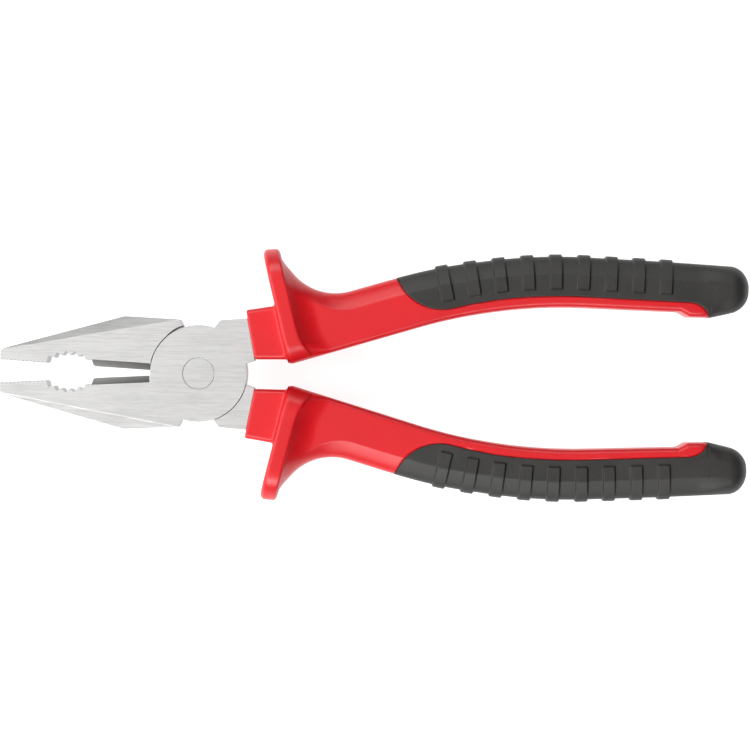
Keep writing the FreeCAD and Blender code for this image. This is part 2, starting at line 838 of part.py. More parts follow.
def make_rib_bands(doc, d):
    """Upright slabs across the handle, one where each rib stands."""
    body = new_body(doc, "rib_bands")
    half = d.rib_width / 2
    for index in range(int(d.rib_count.value)):
        middle, slope = along(d, ZERO, d.rib_first + d.rib_pitch * index)
        sketch = new_sketch(
            body, "XY_Plane", f"rib_line{index}", x=middle[0], y=middle[1], yaw=slope
        )
        reach = d.outer_side * 2
        outline(sketch, [(-half, -reach), (half, -reach), (half, reach), (-half, reach)])
        pad(body, sketch, d.handle_thickness * 2, f"rib{index}")
    return body


def boolean(doc, kind, name, *shapes):
    made = doc.addObject(f"Part::{kind}", name)
    if kind.startswith("Multi"):
        made.Shapes = list(shapes)
    else:
        made.Base, made.Tool = shapes
    return made


def make_tang_room(doc, d):
    body = new_body(doc, "tang_room")
    add_tang(body, d)
    return body


def make_handle_tools(doc, d):
    """The solids that both handles are cut and joined from, in the lever frame."""
    outer = make_envelope(doc, d)
    core = make_core(doc, d)
    smooth = boolean(doc, "MultiCommon", "smooth_grip", outer, make_grip_zone(doc, d))
    ribs = boolean(doc, "MultiCommon", "ribs", make_rib_skin(doc, d), make_rib_bands(doc, d))
    ribbed = boolean(doc, "MultiFuse", "ribbed_grip", smooth, ribs)
    return {"outer": outer, "core": core, "ribbed": ribbed, "tang_room": make_tang_room(doc, d)}


def make_grip(doc, tools, name):
    grip = boolean(doc, "Cut", name, tools["ribbed"], tools["core"])
    grip.Label = name
    return grip


def make_sleeve(doc, tools, plain_grip, name):
    around = boolean(doc, "Cut", name + "_outside", tools["outer"], plain_grip)
    sleeve = boolean(doc, "Cut", name, around, tools["tang_room"])
    sleeve.Label = name
    return sleeve


# ---------------------------------------------------------------- assembly


def place(obj, d, turned_over):
    """Turns a piece from the lever frame to its place in the row frame, jaws slightly open."""
    yaw = -d.half_opening if turned_over else d.half_opening
    roll = Size.of(180) if turned_over else ZERO
    where = placement_expression(-d.pivot_back, ZERO, d.rest_height, yaw, ZERO, roll)
    obj.setExpression("Placement", where)


def check(doc, nodes):
    for obj in doc.Objects:
        if "Invalid" in obj.State or "Error" in obj.State:
            raise RuntimeError(f"{obj.Label} failed: {obj.State}")
    for node in nodes:
        shape = node.Shape
        if shape.isNull() or not shape.isValid() or not shape.Solids:
            raise RuntimeError(f"{node.Label} has no valid solid")


def main():
    doc = FreeCAD.newDocument("pliers")
    d = Dimensions(doc)
    tools = make_handle_tools(doc, d)
    nodes = []
    for side, turned_over in (("front", False), ("rear", True)):
        gap = d.running_gap if turned_over else ZERO
        grip_in_place = make_grip(doc, tools, f"{side}_grip_seat")
        pieces = [
            make_lever(doc, d, f"{side}_lever", gap),
            make_sleeve(doc, tools, grip_in_place, f"{side}_sleeve"),
            make_grip(doc, tools, f"{side}_grip"),
        ]
        for piece in pieces:
            place(piece, d, turned_over)
        nodes += pieces
    rivet = make_rivet(doc, d, "pivot_rivet")
    place(rivet, d, False)
    nodes.append(rivet)
    doc.recompute()
    check(doc, nodes)
    os.makedirs("parts", exist_ok=True)
    for node in nodes:
        node.Shape.exportStep(f"parts/{node.Label}.step")
        print(f"{node.Label}: {len(node.Shape.Solids)} solid, {node.Shape.Volume:.0f} mm3")


main()
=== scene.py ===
"""Looks for the combination pliers: moulded handles, ground steel, and the studio round them.

Both handles are the same moulding. It is drawn once in the lever frame, in millimetres: the jaws
closed, the rivet on the Z axis, the jaws towards -X, this handle above the X axis. A matrix then
takes it to each lever's place in the row frame, in metres. Along the handle, a place is s, the
distance from the start of the handle's bend, and n, the distance from the middle line outwards.
"""

import json
import math

import bmesh
import bpy
import numpy as np
from mathutils import Matrix, Vector


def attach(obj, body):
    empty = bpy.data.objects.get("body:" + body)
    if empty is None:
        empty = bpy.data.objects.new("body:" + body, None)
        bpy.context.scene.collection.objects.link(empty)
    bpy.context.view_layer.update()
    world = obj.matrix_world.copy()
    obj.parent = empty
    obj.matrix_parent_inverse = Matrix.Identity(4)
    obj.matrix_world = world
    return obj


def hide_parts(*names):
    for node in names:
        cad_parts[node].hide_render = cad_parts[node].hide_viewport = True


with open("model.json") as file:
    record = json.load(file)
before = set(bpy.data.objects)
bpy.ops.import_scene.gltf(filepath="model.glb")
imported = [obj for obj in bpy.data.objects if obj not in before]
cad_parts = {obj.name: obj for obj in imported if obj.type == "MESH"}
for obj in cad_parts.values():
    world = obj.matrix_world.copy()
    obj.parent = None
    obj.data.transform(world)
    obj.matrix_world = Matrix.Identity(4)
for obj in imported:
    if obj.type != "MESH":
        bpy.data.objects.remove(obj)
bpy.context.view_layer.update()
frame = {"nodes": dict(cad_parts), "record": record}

MM = 0.001
PIVOT = Vector(frame["record"]["behaviour"]["joints"][0]["pos_m"])
HALF_OPENING = math.radians(3.25)  # each lever's turn from closed to the stored pose

# the handle's middle line: straight, bend, straight
BEND_START = np.array([57.8, 16.4])
BEND_RADIUS = 142.2
SPLAY = math.radians(13.35)
BEND_TURN = math.radians(18.9)
BEND_LENGTH = BEND_RADIUS * BEND_TURN
HANDLE_END = 90.4
# the section
HALF_THICKNESS = 7.7
PALM_WIDTH = 4.9  # bevel of the palm side, across the handle
PALM_DROP = 5.6  # and down its side
PALM_SLOPE = math.radians(27)  # the bevel where it meets the flat
PALM_FULLNESS = 2.2  # above ROUND, the bevel is flatter and turns down more tightly
ROUND = math.sqrt(0.5)  # fullness of a plain quarter round
FINGER_ROUND = 1.5
# collar
MOUTH_X, MOUTH_LEAN = 15.6, math.tan(math.radians(7.5))
MOUTH_INNER, MOUTH_OUTER = 3.1, 16.3
COLLAR_HALF, COLLAR_ROUND = 7.5, 1.3
SPREAD_INNER, SPREAD_OUTER = 0.4, 0.8
COLLAR_FILLET = 1.0
MOUTH_ROUND = 0.5  # round of the collar's mouth
TANG_DEPTH, TANG_HALF = 12.0, 4.02  # hollow for the tang: depth modelled, half thickness
# hand guard
GUARD_X, GUARD_ANGLE = 24.45, math.radians(10.7)
GUARD_LEAN = math.tan(GUARD_ANGLE)
GUARD_TIP = 32.35
GUARD_HALF = 11.0
GUARD_PLATE = 4.35
GUARD_RIM = 1.0  # round of the front edge
REAR_RIM, CREST_DROP = 0.7, 0.45  # round of the rear edge: length, and drop of the crest
TIP_CORNER, TIP_DROP = 1.6, 0.8
TIP_ROUND, FOOT_ROUND = 8.6, 6.0  # corners seen from the front
FLARE, FLARE_REACH = 1.9, 4.2  # the guard's root reaches back at its foot
HOLLOW = 6.2  # length of the hollow behind the guard
WEB_RADIUS, WEB_END = 14.7, -15.1  # web's arc and the s where it meets the handle
WEB_OPENING = 0.8  # the arc is this much wider where it leaves the guard
WEB_START = math.radians(191.5)
# grip
BORDER, BORDER_DIP = -3.8, 0.35  # n of the grip's lower border, and its dip behind the nose
NOSE_RADIUS, NOSE_TURN = 12.0, math.radians(75)
NOSE_END = 10.0  # s where the border runs straight
TAIL_START, TAIL_RADIUS = 74.6, 5.6
GRIP_PROUD = 0.09
LIP = 0.3
RIB_FIRST, RIB_PITCH, RIB_COUNT = 9.45, 7.31, 9
RIB_WIDTH, RIB_SLOPE, RIB_HEIGHT, RIB_FOOT = 2.7, 0.45, 0.6, -1.8


def smooth(x, low, high):
    """0 below low, 1 above high, and a smooth step between them."""
    t = np.clip((x - low) / (high - low), 0, 1)
    return t * t * (3 - 2 * t)


# ---------------------------------------------------------------- the handle's surface


def middle_line(s):
    """Points of the middle line and its heading, at distances s from the start of the bend."""
    turned = np.clip(s / BEND_RADIUS, 0, BEND_TURN)
    heading = SPLAY - turned
    centre = BEND_START + BEND_RADIUS * np.array([math.sin(SPLAY), -math.cos(SPLAY)])
    x = centre[0] - BEND_RADIUS * np.sin(heading)
    y = centre[1] + BEND_RADIUS * np.cos(heading)
    straight = np.minimum(s, 0) + np.maximum(s - BEND_LENGTH, 0)
    return np.stack([x + straight * np.cos(heading), y + straight * np.sin(heading)], -1), heading


def inner_side(s):
    """n of the finger side, with the lug at the end of the red strip."""
    places = [-40, 20, 68.8, 72.1, 74.5, 80.3, 85.6, 90]
    return np.interp(s, places, [-6.9, -6.8, -6.4, -6.35, -7.55, -7.45, -6.0, -5.6])


def outer_side(s):
    places = [-40, -5, 9, 20, 66, 84, 90]
    return np.interp(s, places, [7.5, 7.5, 7.2, 6.85, 6.75, 6.45, 6.4])


END_DEPTH = 5.4  # length of the handle's rounded end
END_ROUND, END_SQUARE, END_TOUCH = 2.0, 2.6, 4.0  # end_fade's powers: plan, thickness, skin
FADE_LEAST = 1e-3  # keeps the last section from vanishing
CORNER_LIMIT = 6.5  # the finger side's corner at the rounded end

def end_fade(s, power):
    """1 along the handle, falling to 0 as a round end."""
    reach = np.clip((s - HANDLE_END + END_DEPTH) / END_DEPTH, 0, 1)
    return np.clip(1 - reach**power, 0, 1) ** (1 / power)


# points along each stretch of half a section, from the middle of the finger side to the palm
COUNTS = {"finger": 10, "finger_round": 9, "flat": 34, "palm_round": 40, "palm": 8}


def half_section(width, half, finger, palm, slope=0.0, fullness=ROUND):
    """Half a section: (across, up) from the middle of its inner side, over the top, to the outer.

    width, half: size of the section. finger, palm: each corner's (across, down) reach. slope: the
    palm corner's slope where it starts. fullness: ROUND for a plain round, more for a bevel.
    """
    up = np.linspace(0, half - finger[1], COUNTS["finger"], endpoint=False)
    parts = [np.stack([np.zeros_like(up), up], -1)]
    turn = np.linspace(0, math.pi / 2, COUNTS["finger_round"], endpoint=False)
    parts.append(
        np.stack([finger[0] * (1 - np.cos(turn)), half - finger[1] * (1 - np.sin(turn))], -1)
    )
    across = np.linspace(finger[0], width - palm[0], COUNTS["flat"], endpoint=False)
    parts.append(np.stack([across, np.full_like(across, half)], -1))
    t = np.linspace(0, 1, COUNTS["palm_round"], endpoint=False)[:, None]
    corner = np.array([palm[0], -palm[0] * math.tan(slope)])
    foot = np.array([palm[0], -palm[1]])
    pull = 2 * fullness * t * (1 - t)
    curve = (pull * corner + t**2 * foot) / ((1 - t) ** 2 + pull + t**2)
    parts.append(curve + [width - palm[0], half])
    up = np.linspace(half - palm[1], 0, COUNTS["palm"])
    parts.append(np.stack([np.full_like(up, width), up], -1))
    return np.concatenate(parts)


def on_line(inner, outer, half):
    """Half a section stood on the line from one plan point to another, as points in space."""
    inner, outer = np.asarray(inner, float), np.asarray(outer, float)
    along = (outer - inner) / np.linalg.norm(outer - inner)
    plan = inner + half[:, :1] * along
    return np.column_stack([plan, half[:, 1]])


def shaft_half(s):
    """Half a section of the handle proper, at s."""
    low, high = inner_side(s), outer_side(s)
    round_end = end_fade(s, END_ROUND)
    flat_end = max(end_fade(s, END_SQUARE), FADE_LEAST)
    middle = lerp((low + high) * 0.5, 0.2, smooth(s, 78, HANDLE_END))
    low, high = middle + (low - middle) * round_end, middle + (high - middle) * round_end
    size = max(round_end, FADE_LEAST)
    finger = min(FINGER_ROUND + 2.6 * smooth(s, 77, 84), CORNER_LIMIT) * size
    plain = smooth(s, 76, 86)
    half = half_section(
        max(high - low, FADE_LEAST), HALF_THICKNESS * flat_end, (finger, finger),
        (PALM_WIDTH * size, PALM_DROP * flat_end),
        PALM_SLOPE * (1 - plain), lerp(PALM_FULLNESS, ROUND, plain),
    )
    return on_line(plan_point(s, low), plan_point(s, high), half)


def lerp(a, b, t):
    return a + (b - a) * t


def plan_point(s, n):
    point, heading = middle_line(s)
    return point + n * np.array([-math.sin(heading), math.cos(heading)])


def behind_guard(points):
    """How far plan points lie behind the guard's front face."""
    return (points[..., 0] + GUARD_LEAN * points[..., 1] - GUARD_X) * math.cos(GUARD_ANGLE)


def foot_s(behind):
    """s where the handle's finger side is that far behind the guard's front face."""
    s = np.linspace(-42, -14, 281)
    places = np.array([plan_point(at, inner_side(at)) for at in s])
    return float(np.interp(behind, behind_guard(places), s))


def flared(half, inner, weight):
    """Moves half a section back along the handle near its foot, where the guard's root widens."""
    reach = np.linalg.norm(half[:, :2] - inner, axis=1)
    shift = weight * FLARE * np.exp(-((reach / FLARE_REACH) ** 2))
    along = np.array([math.cos(SPLAY), math.sin(SPLAY)])
    return np.column_stack([half[:, :2] + shift[:, None] * along, half[:, 2]])


def guard_half(behind, shrink, drop, foot_shrink=None):
    """The guard's outline so far behind its front face, drawn in by shrink, tip lower by drop."""
    s = foot_s(behind)
    inner = plan_point(s, inner_side(s))
    tip = GUARD_TIP - drop
    outer = np.array([GUARD_X - GUARD_LEAN * tip + behind / math.cos(GUARD_ANGLE), tip])
    along = (outer - inner) / np.linalg.norm(outer - inner)
    start = inner + (shrink if foot_shrink is None else foot_shrink) * along
    end = outer - shrink * along
    foot, palm = FOOT_ROUND - shrink, TIP_ROUND - shrink
    width = float(np.linalg.norm(end - start))
    half = half_section(width, GUARD_HALF - shrink, (foot, foot), (palm, palm))
    return flared(on_line(start, end, half), inner, smooth(behind, GUARD_RIM, GUARD_PLATE))


def guard_halves():
    """Sections of the guard from its front face, round the front edge, to its rear edge."""
    halves = []
    for turn in np.linspace(0, math.pi / 2, 7):
        behind = GUARD_RIM * (1 - math.cos(turn))
        drop = TIP_DROP * (1 - behind / TIP_CORNER) ** 2
        halves.append(guard_half(behind, GUARD_RIM * (1 - math.sin(turn)), drop))
    for behind in np.linspace(GUARD_RIM, GUARD_PLATE - REAR_RIM, 7)[1:]:
        halves.append(guard_half(behind, 0, TIP_DROP * max(1 - behind / TIP_CORNER, 0) ** 2))
    for turn in np.linspace(0.25, math.pi / 2, 6):
        behind = GUARD_PLATE - REAR_RIM * (1 - math.sin(turn))
        lower = 1 - math.cos(turn)
        drop = (REAR_RIM - CREST_DROP) * lower
        halves.append(guard_half(behind, CREST_DROP * lower, drop, 0.0))
    return halves


def hollow_fall(behind):
    """How much of the guard's extra height is left so far behind its rear edge: 1 down to 0."""
    return (1 - np.clip(behind / HOLLOW, 0, 1)) ** 2


def web_halves(count):
    """Sections from the guard's rear edge, down the web, to the plain handle."""
    centre = plan_point(WEB_END, outer_side(WEB_END) + WEB_RADIUS)
    crest = GUARD_HALF - CREST_DROP
    squat = HALF_THICKNESS / crest
    halves = []
    for t in np.linspace(0, 1, count, endpoint=False)[1:] ** 2:
        angle = lerp(WEB_START, SPLAY + 1.5 * math.pi, t)
        radius = WEB_RADIUS + WEB_OPENING * (1 - smooth(t, 0, 0.28))
        outer = centre + radius * np.array([math.cos(angle), math.sin(angle)])
        s = lerp(foot_s(GUARD_PLATE), WEB_END, t)
        inner = plan_point(s, inner_side(s))
        flare = 1 - smooth(t, 0, 0.45)
        root = behind_guard(inner) - GUARD_PLATE - FLARE * (1 - flare)
        fall = hollow_fall(root)
        foot = lerp(FINGER_ROUND, FOOT_ROUND, fall)
        palm, bevel = smooth(t, 0, 0.55), smooth(t, 0.15, 0.75)
        half = half_section(
            float(np.linalg.norm(outer - inner)), HALF_THICKNESS,
            (foot, foot * lerp(1, squat, fall)),
            (lerp(TIP_ROUND, PALM_WIDTH, palm), lerp(TIP_ROUND * squat, PALM_DROP, palm)),
            PALM_SLOPE * bevel, lerp(ROUND, PALM_FULLNESS, bevel),
        )
        half = flared(on_line(inner, outer, half), inner, flare)
        reach = np.linalg.norm(half[:, :2] - inner, axis=1)
        edge = GUARD_PLATE + FLARE * np.exp(-((reach / FLARE_REACH) ** 2))
        rise = (crest - HALF_THICKNESS) * hollow_fall(behind_guard(half[:, :2]) - edge)
        half[:, 2] *= 1 + rise / HALF_THICKNESS
        halves.append(half)
    return halves


def collar_half(f, grow):
    """The collar's section, f from the mouth (0) to the guard (1), grown all round."""
    inner = MOUTH_INNER - SPREAD_INNER * f - grow
    outer = MOUTH_OUTER + SPREAD_OUTER * f + grow
    start, end = (
        np.array([lerp(MOUTH_X - MOUTH_LEAN * y, GUARD_X - GUARD_LEAN * y, f), y])
        for y in (inner, outer)
    )
    corner = (COLLAR_ROUND, COLLAR_ROUND)
    half = half_section(float(np.linalg.norm(end - start)), COLLAR_HALF + grow, corner, corner)
    return on_line(start, end, half)


def collar_halves():
    """Sections of the collar, from its rounded mouth to the fillet at the guard."""
    length = GUARD_X - MOUTH_X
    halves = []
    for turn in np.linspace(0, math.pi / 2, 5):
        back, grow = MOUTH_ROUND * (1 - math.cos(turn)), MOUTH_ROUND * (math.sin(turn) - 1)
        halves.append(collar_half(back / length, grow))
    start = 1 - COLLAR_FILLET / length
    halves += [collar_half(f, 0.0) for f in np.linspace(0.12, start, 6)]
    for turn in np.linspace(0.25, math.pi / 2, 6):
        f = start + (1 - start) * math.sin(turn)
        halves.append(collar_half(f, COLLAR_FILLET * (1 - math.cos(turn))))
    return halves


def tang_half(depth):
    """The hollow for the tang, at a depth inside the mouth."""
    inner, outer = lerp(3.9, 5.1, depth / TANG_DEPTH), lerp(13.4, 12.6, depth / TANG_DEPTH)
    start, end = (np.array([MOUTH_X + depth - MOUTH_LEAN * y, y]) for y in (inner, outer))
    corner = (0.1, 0.1)
    half = half_section(float(np.linalg.norm(end - start)), TANG_HALF, corner, corner)
    return on_line(start, end, half)


def border_across(s):
    """n of the grip's border at s, between its front and its tail."""
    lead = np.clip(NOSE_END - s, 0, NOSE_RADIUS * math.sin(NOSE_TURN))
    front = NOSE_RADIUS - np.sqrt(NOSE_RADIUS**2 - lead**2)
    front += np.maximum(NOSE_END - s - lead, 0) * math.tan(NOSE_TURN)
    trail = np.clip(s - TAIL_START, 0, TAIL_RADIUS * 0.999)
    dip = BORDER_DIP * (1 - smooth(s, 8, 24))
    return BORDER - dip + front - (TAIL_RADIUS - np.sqrt(TAIL_RADIUS**2 - trail**2))


def grip_front():
    """s of the grip's foremost point, where its border meets the palm side."""
    s = np.linspace(NOSE_END - 30, NOSE_END, 3001)
    return float(s[np.argmax(border_across(s) < outer_side(s))])


GRIP_FRONT = grip_front()
GRIP_TAIL = TAIL_START + TAIL_RADIUS + 0.6  # s where the border crosses the finger side


def arc_length(half):
    return np.concatenate([[0], np.cumsum(np.linalg.norm(np.diff(half, axis=0), axis=1))])


def across_and_up(half, s):
    """The points of half a section at s as (n, z)."""
    point, heading = middle_line(s)
    left = np.array([-math.sin(heading), math.cos(heading)])
    return (half[:, :2] - point) @ left, half[:, 2]


def border_arc(s):
    """Length from the middle of the finger side, round the section at s, to the border."""
    half = shaft_half(s)
    length = arc_length(half)
    n, _ = across_and_up(half, s)
    wanted = float(border_across(s))
    wall = COUNTS["finger"]
    if wanted > n[wall]:
        return float(np.interp(wanted, n[wall:], length[wall:]))
    left = 1 - smooth(s, TAIL_START + TAIL_RADIUS * 0.8, GRIP_TAIL)
    return float(length[wall] * left)


FRONT_POINTS = 12  # of the border along the grip's foremost section


def border_path():
    """The border unrolled: places (s, length round the section)."""
    stations = np.linspace(GRIP_FRONT, GRIP_TAIL, 700)
    lengths = np.array([border_arc(s) for s in stations])
    whole = arc_length(shaft_half(GRIP_FRONT))[-1]
    edge = np.linspace(whole, lengths[0], FRONT_POINTS)
    front = np.column_stack([np.full(FRONT_POINTS, GRIP_FRONT), edge])
    return np.concatenate([front[:-1], np.column_stack([stations, lengths])])


BORDER_PATH = border_path()


def inside_grip(s, length):
    """Signed distance from the border on the unrolled surface, positive under the grip."""
    s, length = np.asarray(s, float), np.asarray(length, float)
    flat = np.stack([s.ravel(), length.ravel()], -1)
    nearest = np.full(len(flat), 1e9)
    close = (flat[:, 0] > GRIP_FRONT - 2) & (flat[:, 0] < GRIP_TAIL + 2)
    chosen = np.flatnonzero(close)
    for block in np.array_split(chosen, max(1, len(chosen) // 4000)):
        gap = flat[block][:, None, :] - BORDER_PATH[None]
        nearest[block] = np.sqrt((gap**2).sum(-1).min(-1))
    side = BORDER_PATH[FRONT_POINTS - 1:]
    limit = np.interp(flat[:, 0], side[:, 0], side[:, 1])
    inside = (flat[:, 1] > limit) & (flat[:, 0] > GRIP_FRONT) | (flat[:, 0] > GRIP_TAIL)
    return np.where(inside, nearest, -nearest).reshape(s.shape)


# ---------------------------------------------------------------- meshes


def whole_rings(halves):
    """Closes half sections with their mirror images below: an array of rings by points."""
    halves = np.asarray(halves)
    below = halves[:, -2:0:-1] * [1, 1, -1]
    return np.concatenate([halves, below], axis=1)


def grid_normals(rings):
    """Outward unit normals of a grid of closed rings."""
    round_ring = np.roll(rings, -1, 1) - np.roll(rings, 1, 1)
    along = np.gradient(rings, axis=0)
    normals = np.cross(along, round_ring)
    return normals / np.maximum(np.linalg.norm(normals, axis=-1, keepdims=True), 1e-9)


def ring_faces(ring_count, size):
    """Quads between neighbouring closed rings."""
    start = np.arange(ring_count - 1)[:, None] * size + np.arange(size)
    after = np.arange(ring_count - 1)[:, None] * size + (np.arange(size) + 1) % size
    return np.stack([start, after, after + size, start + size], -1).reshape(-1, 4)


def new_piece(name, points, faces, matrix, material):
    """A smooth-shaded object from points in the lever frame, with its faces turned outwards."""
    mesh = bpy.data.meshes.new(name)
    mesh.from_pydata([Vector(p) for p in points], [], [tuple(f) for f in faces])
    work = bmesh.new()
    work.from_mesh(mesh)
    bmesh.ops.remove_doubles(work, verts=work.verts, dist=2e-3)
    bmesh.ops.dissolve_degenerate(work, edges=work.edges, dist=1e-3)
    bmesh.ops.recalc_face_normals(work, faces=work.faces)
    work.to_mesh(mesh)
    work.free()
    mesh.transform(matrix)
    mesh.shade_smooth()
    mesh.set_sharp_from_angle(angle=math.radians(38))
    piece = bpy.data.objects.new(name, mesh)
    bpy.context.collection.objects.link(piece)
    mesh.materials.append(material)
    return piece


def sleeve_stations():
    """s of the sleeve's sections, closer together where something happens."""
    spans = [
        (WEB_END, GRIP_FRONT - 1.0, 0.6), (GRIP_FRONT - 1.0, NOSE_END, 0.25),
        (NOSE_END, 68.0, 0.6), (68.0, GRIP_TAIL + 1.0, 0.25), (GRIP_TAIL + 1.0, 88.0, 0.8),
    ]
    return np.concatenate([np.arange(low, high, step) for low, high, step in spans])


def make_sleeve(name, matrix, material):
    """The red sleeve: hollow mouth, collar, guard, web and shaft, sunk under the grip."""
    front = [tang_half(TANG_DEPTH), tang_half(0.0)]
    front += [*collar_halves(), *guard_halves(), *web_halves(64)]
    stations = sleeve_stations()
    shaft = np.array([shaft_half(s) for s in stations])
    lengths = np.array([arc_length(half) for half in shaft])
    inside = inside_grip(np.repeat(stations[:, None], lengths.shape[1], 1), lengths)
    # a fine groove at the border, and the rest sunk deeper, clear of the grip's lining
    groove = -0.34 * smooth(inside, -0.3, -0.12) - 0.5 * smooth(inside, 0.1, 0.8)
    rings = whole_rings(shaft)
    sunk = np.concatenate([groove, groove[:, -2:0:-1]], 1)[..., None]
    rings = rings + grid_normals(rings) * sunk
    rings = np.concatenate([whole_rings(front), rings])
    size = rings.shape[1]
    points = rings.reshape(-1, 3)
    faces = [list(face) for face in ring_faces(len(rings), size)]
    faces.append(list(range(size)))
    faces.append([len(points) - size + i for i in range(size)])
    return new_piece(name, points, faces, matrix, material)


def grip_stations():
    """s of the grip's sections: close together at its front, tail, end and the ribs' flanks."""
    ribs = RIB_FIRST + RIB_PITCH * np.arange(RIB_COUNT)
    reach = np.arange(-0.25, RIB_SLOPE + 0.26, 0.1)
    flanks = np.concatenate([np.concatenate([r - RIB_WIDTH / 2 - reach, r + RIB_WIDTH / 2 + reach])
                             for r in ribs])
    places = np.concatenate([
        GRIP_FRONT + np.array([0, 0.03, 0.08, 0.15, 0.25, 0.37, 0.5]),
        np.arange(GRIP_FRONT + 0.65, NOSE_END, 0.3),
        np.arange(NOSE_END, 69, 0.5),
        np.arange(69, GRIP_TAIL + 1.5, 0.22),
        np.arange(GRIP_TAIL + 1.5, HANDLE_END - END_DEPTH, 0.5),
        HANDLE_END - END_DEPTH * (1 - np.sin(np.linspace(0, math.pi / 2, 34))),
        flanks,
    ])
    places = np.sort(places)
    apart = np.concatenate([[True], np.diff(places) > 0.02])
    places = places[apart]
    places[-1] = HANDLE_END
    return places


def rib_height(s, n):
    """How far the ribs stand up: across the palm side, with a step at their lower ends."""
    distance = np.abs((s - RIB_FIRST + RIB_PITCH / 2) % RIB_PITCH - RIB_PITCH / 2)
    on_ribs = (s > RIB_FIRST - RIB_PITCH / 2) & (s < RIB_FIRST + RIB_PITCH * (RIB_COUNT - 0.5))
    top = 1 - smooth(distance, RIB_WIDTH / 2, RIB_WIDTH / 2 + RIB_SLOPE)
    return RIB_HEIGHT * top * smooth(n, RIB_FOOT - 0.25, RIB_FOOT + 0.1) * on_ribs


def make_grip(name, matrix, material):
    """The black grip: a skin over the sleeve, from border to border round the palm side."""
    stations = grip_stations()
    near = np.array([0, 0.06, 0.14, 0.24, 0.36, 0.5, 0.66])
    share = np.linspace(0, 1, 84)[1:]
    outer, inner = [], []
    for s in stations:
        half = shaft_half(s)
        length = arc_length(half)
        edge = border_arc(s) if s < GRIP_TAIL else 0.0
        room = length[-1] - edge
        lead = near * min(1.0, room / 1.5)
        places = edge + np.concatenate([lead, lead[-1] + (room - lead[-1]) * share])
        section = np.stack([np.interp(places, length, half[:, axis]) for axis in range(3)], -1)
        outer.append(section)
        inner.append(places)
    halves, lengths = np.array(outer), np.array(inner)
    columns = halves.shape[1]
    rings = np.concatenate([halves, halves[:, -2::-1] * [1, 1, -1]], 1)
    lengths = np.concatenate([lengths, lengths[:, -2::-1]], 1)
    s_grid = np.repeat(stations[:, None], rings.shape[1], 1)
    across = np.gradient(rings, axis=1)
    normals = np.cross(np.gradient(rings, stations, axis=0), across)
    normals /= np.maximum(np.linalg.norm(normals, axis=-1, keepdims=True), 1e-9)
    n_grid = np.stack([across_and_up(ring, s)[0] for ring, s in zip(rings, stations)])
    inside = np.maximum(inside_grip(s_grid, lengths), 0)
    lip = np.sqrt(np.clip(1 - (1 - np.clip(inside / LIP, 0, 1)) ** 2, 0, 1))
    proud = lerp(-0.4, GRIP_PROUD, lip) + rib_height(s_grid, n_grid)
    touch = end_fade(s_grid, END_TOUCH)
    proud *= touch
    skin = rings + normals * proud[..., None]
    lining = rings - normals * lerp(0.5, 0.8, lip)[..., None] * touch[..., None]
    return grip_mesh(name, skin, lining, columns * 2 - 1, matrix, material)


def grip_mesh(name, skin, lining, size, matrix, material):
    """Joins the grip's skin and lining along the open border into one closed solid."""
    rows = len(skin)
    index = np.arange(rows * size).reshape(rows, size)
    quads = np.stack([index[:-1, :-1], index[:-1, 1:], index[1:, 1:], index[1:, :-1]], -1)
    quads = quads.reshape(-1, 4)
    offset = rows * size
    open_rows = grip_stations() < GRIP_TAIL
    last = int(np.count_nonzero(open_rows))
    edge = np.concatenate([index[last::-1, 0], index[0, 1:], index[1:last + 1, -1]])
    rim = np.stack([edge[:-1], edge[1:], edge[1:] + offset, edge[:-1] + offset], -1)
    points = np.concatenate([skin.reshape(-1, 3), lining.reshape(-1, 3)])
    faces = [list(f) for f in np.concatenate([quads, (quads + offset)[:, ::-1], rim])]
    return new_piece(name, points, faces, matrix, material)


# ---------------------------------------------------------------- materials


